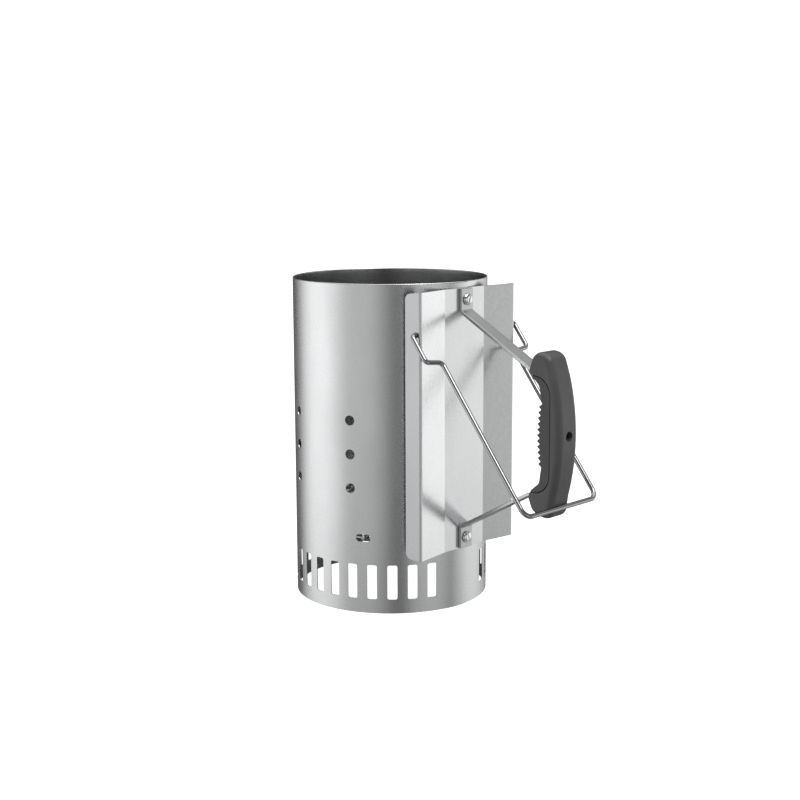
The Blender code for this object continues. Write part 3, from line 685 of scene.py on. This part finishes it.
def make_shield():
    half = SHIELD_THICKNESS / 2
    bm = bmesh.new()
    prism(bm, band(shield_plan(), -half, half), level(SHIELD_LOW.z), level(SHIELD_HIGH.z))
    shield = make("heat_shield_sheet", bm, SHIELD_STEEL, FLANGE_SHADED_STEEL)
    carve(shield, shield_cutters())
    # The flanges' outer faces take the darker copy of the sheet, which is painted shade
    for face in shield.data.polygons:
        painted_shade_flange_face = abs(face.center.y) > SHIELD_HIGH.y - SHIELD_BEND and abs(face.normal.y) > 0.9
        face.material_index = int(painted_shade_flange_face)
    finish(shield, ["heat_shield"], edge=SHIELD_EDGE)


# --- Strap -------------------------------------------------------------------------------------

def strap_path(steps):
    """The strap's middle line seen from the side, as (x, z) points."""
    rise = GRIP_FACE_RISE + STRAP_OFFSET + STRAP_LIFT
    grip_x = GRIP_FACE_X + STRAP_OFFSET
    half = [(FOOT_X, STRAP_HIGH.z - MID_Z, 0.0), (FOOT_X, FOOT_BEND_RISE, FOOT_BEND),
            (ARM_END_X, rise, ARM_BEND), (grip_x, rise, GRIP_FACE_CORNER + STRAP_OFFSET)]
    corners = half + [(x, -up, r) for x, up, r in reversed(half)]
    return shifted(rounded_path(corners, steps=steps), MID_Z)


def make_strap():
    half = STRAP_THICKNESS / 2
    bm = bmesh.new()
    prism(bm, band(strap_path(12), -half, half), upright(STRAP_LOW.y), upright(STRAP_HIGH.y))
    strap = make("strap_strip", bm, STRAP_STEEL)
    holes = bmesh.new()
    bolt = circle(BOLT_HOLE_RADIUS, 24)
    for rise, x in ((SCREW_RISE, FOOT_X), (-SCREW_RISE, FOOT_X), (0.0, GRIP_FACE_X)):
        prism(holes, shifted(bolt, MID_Z + rise), facing_x(x - 2 * CUT), facing_x(x + 2 * CUT))
    carve(strap, holes)
    finish(strap, ["handle_strap"], edge=STRAP_EDGE, segments=3)


# --- Grip --------------------------------------------------------------------------------------

def grip_outline():
    """The grip seen from the side, as (x, rise) points: outer arc, hooked ends and finger ridges."""
    centre = Vector((GRIP_OUTER_X - GRIP_ARC_RADIUS, GRIP_ARC_CENTRE_RISE))
    reach = asin(GRIP_ARC_REACH / GRIP_ARC_RADIUS)
    arc = []
    for i in range(-GRIP_ARC_STEPS, GRIP_ARC_STEPS + 1):
        angle = reach * i / GRIP_ARC_STEPS
        point = centre + GRIP_ARC_RADIUS * Vector((cos(angle), sin(angle)))
        arc.append((point.x, point.y, 0.0))
    ridges = []
    for i in range(2 * RIDGES + 1):
        rise = (RIDGES - i) * RIDGE_PITCH / 2
        tip = RIDGE_TIP_X + rise * rise / (2 * RIDGE_ARC_RADIUS)
        ridges.append((tip + (0.0 if i % 2 else RIDGE_HEIGHT), rise, RIDGE_ROUNDING))
    top = [tuple(value * MM for value in corner) for corner in GRIP_TOP_END]
    low = [tuple(value * MM for value in corner) for corner in GRIP_LOW_END]
    return rounded_path(arc + top + ridges + low, closed=True, steps=6)


def grip_blank(name, material):
    """The whole grip before it is split, with its outer edges rounded layer by layer."""
    outline = grip_outline()
    count = len(outline)
    ridge_reach = (RIDGES + 0.5) * RIDGE_PITCH / 2
    inward = []
    for i, point in enumerate(outline):
        along = (outline[(i + 1) % count] - outline[i - 1]).normalized()
        outer_side = (point.x - RIDGE_TIP_X) / OUTER_SIDE_BLEND
        end_side = (abs(point.y) - END_SIDE_START) / END_SIDE_BLEND
        weight = min(1.0, max(EDGE_SHARE, outer_side, end_side))
        ridged = point.x < GRIP_FACE_X and abs(point.y) < ridge_reach
        inward.append(Vector((EDGE_SHARE, 0.0)) if ridged else Vector((-along.y, along.x)) * weight)
    rings = []
    for i in range(2 * GRIP_LAYERS + 2):
        sign = -1 if i <= GRIP_LAYERS else 1
        angle = pi / 2 * min(i, 2 * GRIP_LAYERS + 1 - i) / GRIP_LAYERS
        side = GRIP_HALF_WIDTH - GRIP_ROUNDING * (1 - cos(angle))
        shrink = GRIP_ROUNDING * (1 - sin(angle))
        ring = [upright(sign * side)(p + n * shrink) for p, n in zip(outline, inward)]
        rings.append([point + Vector((0.0, 0.0, MID_Z)) for point in ring])
    bm = bmesh.new()
    loft(bm, rings)
    return make(name, bm, material)


def joint_block(clearance):
    """The space inside the joint line between the grip's halves, less clearance."""
    rise = GRIP_FACE_RISE - clearance
    corners = [(JOINT_START_X, -rise, 0.0), (GRIP_FACE_X - clearance, -rise, GRIP_FACE_CORNER),
               (GRIP_FACE_X - clearance, rise, GRIP_FACE_CORNER), (JOINT_START_X, rise, 0.0)]
    bm = bmesh.new()
    width = GRIP_HALF_WIDTH + CUT
    prism(bm, shifted(rounded_path(corners, steps=12), MID_Z), upright(-width), upright(width))
    return bm


def raise_mesh(bm):
    bmesh.ops.translate(bm, verts=bm.verts, vec=(0.0, 0.0, MID_Z))
    return bm


def make_grip_shell():
    shell = grip_blank("grip_shell", SHELL_PLASTIC)
    carve(shell, joint_block(-SEAM))
    channel = bmesh.new()
    width = STRAP_HIGH.y + GAP
    half = STRAP_THICKNESS / 2 + GAP
    prism(channel, band(strap_path(12), -half - GAP, half + STRAP_LIFT), upright(-width), upright(width))
    carve(shell, channel)
    floor_x = GRIP_FACE_X + STRAP_OFFSET + half + GRIP_FLOOR
    bore = bmesh.new()
    turned_x(bore, ((GRIP_FACE_X - CUT, BOLT_HOLE_RADIUS), (floor_x, BOLT_HOLE_RADIUS),
                    (floor_x, COUNTERBORE_RADIUS), (GRIP_OUTER_X + CUT, COUNTERBORE_RADIUS)))
    carve(shell, raise_mesh(bore))
    finish(shell, ["handle_outer_shell"], edge=SHELL_EDGE)


def make_grip_insert():
    insert = grip_blank("grip_insert", INSERT_PLASTIC)
    carve(insert, joint_block(SEAM), "INTERSECT")
    depth = NUT_THICKNESS + 3 * GAP
    bore = bmesh.new()
    turned_x(bore, ((GRIP_FACE_X - depth - CUT, BOLT_HOLE_RADIUS), (GRIP_FACE_X - MM, BOLT_HOLE_RADIUS)))
    carve(insert, raise_mesh(bore))
    pocket = bmesh.new()
    hexagon = circle((NUT_FLAT_RADIUS + GAP) / cos(pi / 6), 6)
    prism(pocket, hexagon, facing_x(GRIP_FACE_X - depth), facing_x(GRIP_FACE_X + MM))
    carve(insert, raise_mesh(pocket))
    finish(insert, ["handle_grip_insert"], edge=INSERT_EDGE)


# --- Fasteners ---------------------------------------------------------------------------------

def screw_piece(name, shank, head_radius, material):
    """A slotted pan-head screw along X with its head's underside at 0 and a threaded shank."""
    around = 36
    per_turn = 8
    steps = round((shank - BOLT_PLAIN) / THREAD_PITCH * per_turn)
    rings = []
    for i in range(steps + 1):
        x = -shank + (shank - BOLT_PLAIN) * i / steps
        fade = min(1.0, (steps - i) / per_turn)
        tip = BOLT_RADIUS - BOLT_POINT + x + shank
        ring = []
        for k, spoke in enumerate(circle(1.0, around)):
            turn = (x / THREAD_PITCH - k / around) % 1.0
            cut = THREAD_DEPTH * min(1.0, abs(2 * turn - 1) * 1.15)
            ring.append(facing_x(x)(spoke * min(BOLT_RADIUS - cut * fade, tip)))
        rings.append(ring)
    crown = [(0.0, BOLT_RADIUS), (0.0, head_radius - HEAD_EDGE), (HEAD_EDGE, head_radius)]
    crown_steps = 6
    for i in range(crown_steps + 1):
        angle = radians(HEAD_CROWN * i / crown_steps)
        crown.append((HEAD_HEIGHT * (0.2 + 0.8 * sin(angle) / sin(radians(HEAD_CROWN))),
                      head_radius * (0.5 + 0.5 * cos(angle * 90 / HEAD_CROWN))))
    rings += [[facing_x(x)(p) for p in circle(r, around)] for x, r in crown]
    bm = bmesh.new()
    loft(bm, rings)
    screw = make(name, bm, material)
    slot = bmesh.new()
    outline = rounded_rectangle(2 * (head_radius + MM), DRIVER_SLOT, 0.0, 1)
    prism(slot, outline, facing_x(0.3 * HEAD_HEIGHT), facing_x(HEAD_HEIGHT + MM))
    carve(screw, slot)
    return screw


def nut_piece(name, material):
    """A hexagonal nut along X with chamfered corners, its near face at 0."""
    around = 48
    levels = (0.0, 0.15, 0.35, 0.6)
    outer = [(x * MM, 0.96 * NUT_FLAT_RADIUS + 1.6 * x * MM) for x in levels]
    outer += [(NUT_THICKNESS - x, r) for x, r in reversed(outer)]
    bm = bmesh.new()
    rings = []
    for x, reach in outer:
        ring = []
        for k in range(around):
            angle = 2 * pi * k / around
            edge = NUT_FLAT_RADIUS / cos((angle + pi / 6) % (pi / 3) - pi / 6)
            r = min(edge, reach)
            ring.append(Vector((x, r * cos(angle), r * sin(angle))))
        rings.append(ring)
    mouth = BOLT_HOLE_RADIUS + NUT_CHAMFER
    bore = [(NUT_THICKNESS, mouth), (NUT_THICKNESS - NUT_CHAMFER, BOLT_HOLE_RADIUS),
            (NUT_CHAMFER, BOLT_HOLE_RADIUS), (0.0, mouth)]
    rings += [[facing_x(x)(p) for p in circle(r, around)] for x, r in bore]
    loft(bm, rings, closed=True)
    return make(name, bm, material)


def washer_piece(name, material):
    rim = WASHER_RADIUS - WASHER_EDGE
    profile = [(0.0, rim), (WASHER_EDGE, WASHER_RADIUS), (WASHER_THICKNESS - WASHER_EDGE, WASHER_RADIUS),
               (WASHER_THICKNESS, rim), (WASHER_THICKNESS, BOLT_HOLE_RADIUS), (0.0, BOLT_HOLE_RADIUS)]
    bm = bmesh.new()
    turned_x(bm, profile, closed=True)
    return make(name, bm, material)


def make_foot_fasteners(label, side):
    """The screw, washer and nut of the strap's upper (side 1) or lower (side -1) foot."""
    z = MID_Z + side * SCREW_RISE
    head_x = STRAP_LOW.x + STRAP_THICKNESS + GAP
    washer_x = box_about_axis("strap_washer_upper")[0].x
    nut_x = box_about_axis("strap_nut_upper")[0].x
    screw = screw_piece(f"foot_screw_{label}", head_x - nut_x + BOLT_TAIL, HEAD_RADIUS, SCREW_STEEL)
    screw.rotation_euler.x = radians(90 - side * DRIVER_SLOT_TURN)
    finish(screw, [f"strap_screw_{label}"], edge=SCREW_EDGE, at=Vector((head_x, 0.0, z)))
    washer = washer_piece(f"foot_washer_{label}", SCREW_STEEL)
    finish(washer, [f"strap_washer_{label}"], at=Vector((washer_x, 0.0, z)))
    nut = nut_piece(f"foot_nut_{label}", SCREW_STEEL)
    finish(nut, [f"strap_nut_{label}"], smooth=NUT_SMOOTH, at=Vector((nut_x, 0.0, z)))


def make_grip_fasteners():
    head_x = box_about_axis("handle_screw")[1].x - HEAD_HEIGHT
    nut_x = box_about_axis("handle_nut")[0].x
    screw = screw_piece("grip_screw", head_x - nut_x + BOLT_TAIL, GRIP_HEAD_RADIUS, DARK_STEEL)
    finish(screw, ["handle_screw"], edge=SCREW_EDGE, at=Vector((head_x, 0.0, MID_Z)))
    nut = nut_piece("grip_nut", SCREW_STEEL)
    finish(nut, ["handle_nut"], smooth=NUT_SMOOTH, at=Vector((nut_x, 0.0, MID_Z)))


# --- Bail --------------------------------------------------------------------------------------

def make_bail():
    """The wire along X from its pivots, then turned down to its rest."""
    at_pivot, past_kink, far_corner = BAIL_BENDS
    half = [(0.0, BAIL_TIP_HALF, 0.0), (0.0, BAIL_PIVOT_HALF, at_pivot),
            (BAIL_KINK, BAIL_PIVOT_HALF, at_pivot),
            (BAIL_KINK + BAIL_KINK_LEAN, BAIL_STRAIGHT_HALF, past_kink),
            (BAIL_LENGTH, BAIL_STRAIGHT_HALF, far_corner)]
    corners = half + [(x, -y, r) for x, y, r in reversed(half)]
    bm = bmesh.new()
    sweep(bm, [level(0.0)(p) for p in rounded_path(corners, steps=12)], BAIL_WIRE, sides=24)
    bail = make("bail_round_wire", bm, BAIL_STEEL)
    bail.rotation_euler.y = radians(BAIL_REST)
    finish(bail, ["bail_wire"], body="bail", smooth=60.0, at=PIVOT)


# --- Grate -------------------------------------------------------------------------------------

def cone_height(radius):
    """Height of a spoke's middle line at a radius."""
    return WINDOW_Z + GRATE_RISE * (GRATE_KNEE - radius)


def weld_bead(bm, centre, tilt, seed):
    """A lump of weld metal where a spoke lies on a ring."""
    made = bmesh.ops.create_icosphere(bm, subdivisions=2, radius=1.0)["verts"]
    for vert in made:
        lump = 1.0 + BEAD_LUMPS * noise.noise(vert.co * 1.7 + Vector((seed, 0.0, 0.0)))
        vert.co = vert.co * BEAD_RADII * lump
    bmesh.ops.transform(bm, verts=made, matrix=Matrix.Translation(centre) @ tilt)


def make_grate():
    """A cone of spokes on four rings, with a weld bead at each crossing."""
    slope = hypot(1.0, GRATE_RISE)
    drop = (2 * GRATE_WIRE + GAP) * slope       # from a spoke's middle line down to a ring's
    for name, radius in GRATE_RINGS:
        bm = bmesh.new()
        torus(bm, radius, cone_height(radius) - drop, GRATE_WIRE)
        finish(make(f"{name}_wire", bm, GRATE_STEEL), [name], smooth=60.0)
    inner_end = GRATE_RINGS[-1][1] - GRATE_OVERLAP
    welds = bmesh.new()
    for i in range(GRATE_SPOKES):
        end = GRATE_LONG_END if i % (GRATE_SPOKES // 4) == 0 else GRATE_SHORT_END
        corners = [(inner_end, cone_height(inner_end), 0.0), (GRATE_KNEE, WINDOW_Z, GRATE_KNEE_BEND),
                   (end, WINDOW_Z, 0.0)]
        turn = Matrix.Rotation(radians(WINDOW_FIRST + i * 360 / GRATE_SPOKES), 4, "Z")
        bm = bmesh.new()
        sweep(bm, [turn @ upright(0.0)(p) for p in rounded_path(corners, steps=6)], GRATE_WIRE)
        node = f"grate_spoke_{i + 1:02d}"
        finish(make(f"{node}_wire", bm, GRATE_STEEL), [node], smooth=60.0)
        tilt = turn @ Matrix.Rotation(atan2(GRATE_RISE, 1.0), 4, "Y")
        for k, (_, radius) in enumerate(GRATE_RINGS):
            centre = turn @ Vector((radius - 0.25 * drop, 0.0, cone_height(radius) - 0.5 * drop + GAP))
            weld_bead(welds, centre, tilt, i * 4.1 + k * 1.7)
    finish(make("grate_weld_beads", welds, GRATE_STEEL), [], smooth=60.0)


# --- Stage, light and camera -------------------------------------------------------------------

CAMERA_DISTANCE = 1.3737            # level distance from the cylinder's axis
CAMERA_AZIMUTH = -45.60             # degrees, direction from the axis to the camera
CAMERA_HEIGHT = 0.4284
CAMERA_PITCH = 9.87                 # degrees down
CAMERA_YAW = -0.382                 # degrees, to the right of the axis
CAMERA_ROLL = 0.24                  # degrees
CAMERA_LENS = 63.14                 # millimetres on a 36 mm sensor
FLOOR_REACH = 6.0                   # from the middle to each side
FLOOR_GLOW = 0.93                   # light of its own
BACKDROP_RADIUS = 12.0
BACKDROP_GLOW = 1.05


def stage_paint(name, glow, diffuse=0.0):
    """A plain white stage material: light of its own plus a matt surface."""
    mat = bpy.data.materials.new(name)
    mat.use_nodes = True
    shader = mat.node_tree.nodes["Principled BSDF"]
    shader.inputs["Base Color"].default_value = (diffuse, diffuse, diffuse, 1.0)
    shader.inputs["Roughness"].default_value = 1.0
    shader.inputs["Specular IOR Level"].default_value = 0.0
    shader.inputs["Emission Color"].default_value = (1.0, 1.0, 1.0, 1.0)
    shader.inputs["Emission Strength"].default_value = glow
    return mat


def stage_piece(name, bm, mat, seen):
    """A backdrop that only the camera sees, or one that only light and reflections see."""
    data = mesh_from(name, bm)
    data.materials.append(mat)
    data.shade_smooth()
    obj = bpy.data.objects.new(name, data)
    bpy.context.collection.objects.link(obj)
    obj.visible_camera = seen
    obj.visible_diffuse = not seen
    obj.visible_glossy = not seen
    obj.visible_transmission = not seen
    obj.visible_shadow = not seen


def make_stage():
    """A white floor and backdrop for the camera, and the dim floor inside the cylinder for the light."""
    floor = bmesh.new()
    bmesh.ops.create_grid(floor, x_segments=2, y_segments=2, size=FLOOR_REACH)
    stage_piece("pale_floor", floor, stage_paint("floor_paint", FLOOR_GLOW, diffuse=0.5), True)
    dome = bmesh.new()
    bmesh.ops.create_uvsphere(dome, u_segments=48, v_segments=24, radius=BACKDROP_RADIUS)
    stage_piece("backdrop", dome, stage_paint("backdrop_paint", BACKDROP_GLOW), True)
    shade = bmesh.new()
    bmesh.ops.create_circle(shade, cap_ends=True, segments=96, radius=RADIUS)
    bmesh.ops.translate(shade, verts=shade.verts, vec=(AXIS.x, 0.0, -MM))
    stage_piece("shaded_floor", shade, stage_paint("shaded_paint", 0.0, diffuse=0.25), False)


# Studio brightness by direction round the object: (degrees to the right of the camera, radiance)
STUDIO = (
    (-180, 0.06), (-160, 0.08), (-147, 0.13), (-135, 0.26),                   # dark behind the object
    (-122, 0.90), (-108, 1.33), (-92, 1.38), (-78, 1.31), (-67, 1.08),        # left softbox
    (-58, 0.78), (-46, 0.66), (-26, 0.70), (-14, 0.58),                       # open room
    (-4, 0.36), (6, 0.16), (14, 0.20),                                        # dark round the camera
    (24, 0.62), (45, 0.84), (57, 0.68), (68, 0.42), (78, 0.44),               # weaker fill
    (90, 0.90), (108, 1.30), (125, 1.14), (145, 0.70),                        # right softbox
    (165, 0.25), (180, 0.06),
)
OVERHEAD = 1.30                     # radiance straight above
OVERHEAD_SINES = (0.55, 0.85)       # sines of the elevations between which it takes over
DIM = 0.25                          # share of the brightness left above the softboxes
DIM_SINES = (0.0, 0.28)             # sines of the elevations between which they end
LOW_DIM = 0.45                      # share of the brightness left towards the floor
LOW_SINES = (-0.20, -0.42)
TOP_SOFTBOX = {"size": (1.0, 1.0), "power": 14.0, "azimuth": 40.0, "elevation": 58.0, "distance": 2.2}


def make_world():
    """The studio round the object: STUDIO by direction, changed by height as the layers say."""
    world = bpy.data.worlds.new("studio")
    bpy.context.scene.world = world
    world.use_nodes = True
    tree = world.node_tree
    nodes, links = tree.nodes, tree.links
    background = nodes["Background"]
    place = nodes.new("ShaderNodeTexCoord")
    turn = nodes.new("ShaderNodeMapping")
    turn.inputs["Rotation"].default_value = (0.0, 0.0, -radians(CAMERA_AZIMUTH))
    sweep_round = nodes.new("ShaderNodeTexGradient")
    sweep_round.gradient_type = "RADIAL"
    ramp = nodes.new("ShaderNodeValToRGB")
    ramp.color_ramp.interpolation = "B_SPLINE"
    elements = ramp.color_ramp.elements
    peak = max(radiance for _, radiance in STUDIO)
    background.inputs["Strength"].default_value = peak
    for angle, radiance in STUDIO[1:-1]:
        elements.new(angle / 360 + 0.5).color = (*(3 * [radiance / peak]), 1.0)
    for end, (_, radiance) in ((0, STUDIO[0]), (-1, STUDIO[-1])):
        elements[end].color = (*(3 * [radiance / peak]), 1.0)
    links.new(place.outputs["Generated"], turn.inputs["Vector"])
    links.new(turn.outputs["Vector"], sweep_round.inputs["Vector"])
    links.new(sweep_round.outputs["Fac"], ramp.inputs["Fac"])
    split = nodes.new("ShaderNodeSeparateXYZ")
    links.new(place.outputs["Generated"], split.inputs["Vector"])
    colour = ramp.outputs["Color"]
    layers = ((DIM_SINES, "MULTIPLY", DIM), (LOW_SINES, "MULTIPLY", LOW_DIM),
              (OVERHEAD_SINES, "MIX", OVERHEAD / peak))
    for sines, mode, other in layers:
        climb = nodes.new("ShaderNodeMapRange")
        climb.interpolation_type = "SMOOTHSTEP"
        climb.inputs["From Min"].default_value, climb.inputs["From Max"].default_value = sines
        links.new(split.outputs["Z"], climb.inputs["Value"])
        mix = nodes.new("ShaderNodeMix")
        mix.data_type = "RGBA"
        mix.blend_type = mode
        links.new(climb.outputs["Result"], mix.inputs["Factor"])
        links.new(colour, mix.inputs[6])
        mix.inputs[7].default_value = (other, other, other, 1.0)
        colour = mix.outputs[2]
    links.new(colour, background.inputs["Color"])


def area_light(name, size, power, azimuth, elevation, distance):
    """A softbox aimed at the middle of the object, placed by its direction from there in degrees."""
    light = bpy.data.lights.new(name, "AREA")
    light.shape = "RECTANGLE"
    light.size, light.size_y = size
    light.energy = power
    obj = bpy.data.objects.new(name, light)
    bpy.context.collection.objects.link(obj)
    a, e = radians(CAMERA_AZIMUTH + azimuth), radians(elevation)
    toward = Vector((cos(e) * cos(a), cos(e) * sin(a), sin(e)))
    obj.location = Vector((0.0, 0.0, HEIGHT / 2)) + toward * distance
    obj.rotation_euler = (-toward).to_track_quat("-Z", "Y").to_euler()
    obj.visible_camera = False


def make_camera():
    camera = bpy.data.cameras.new("camera")
    camera.lens = CAMERA_LENS
    camera.sensor_width = 36.0
    obj = bpy.data.objects.new("camera", camera)
    bpy.context.collection.objects.link(obj)
    azimuth = radians(CAMERA_AZIMUTH)
    obj.location = AXIS + Vector((cos(azimuth), sin(azimuth), 0.0)) * CAMERA_DISTANCE
    obj.location.z = CAMERA_HEIGHT
    heading = azimuth + pi + radians(CAMERA_YAW)
    pitch = radians(CAMERA_PITCH)
    forward = Vector((cos(pitch) * cos(heading), cos(pitch) * sin(heading), -sin(pitch)))
    right = forward.cross(Vector((0.0, 0.0, 1.0))).normalized()
    up = right.cross(forward)
    roll = radians(CAMERA_ROLL)
    right, up = right * cos(roll) - up * sin(roll), up * cos(roll) + right * sin(roll)
    obj.rotation_euler = Matrix((right, up, -forward)).transposed().to_euler()
    bpy.context.scene.camera = obj


make_cylinder()
make_shield()
make_strap()
make_grip_shell()
make_grip_insert()
make_foot_fasteners("upper", 1)
make_foot_fasteners("lower", -1)
make_grip_fasteners()
make_bail()
make_grate()
make_stage()
make_world()
area_light("top_softbox", **TOP_SOFTBOX)
make_camera()
bpy.context.scene.view_settings.view_transform = "Standard"
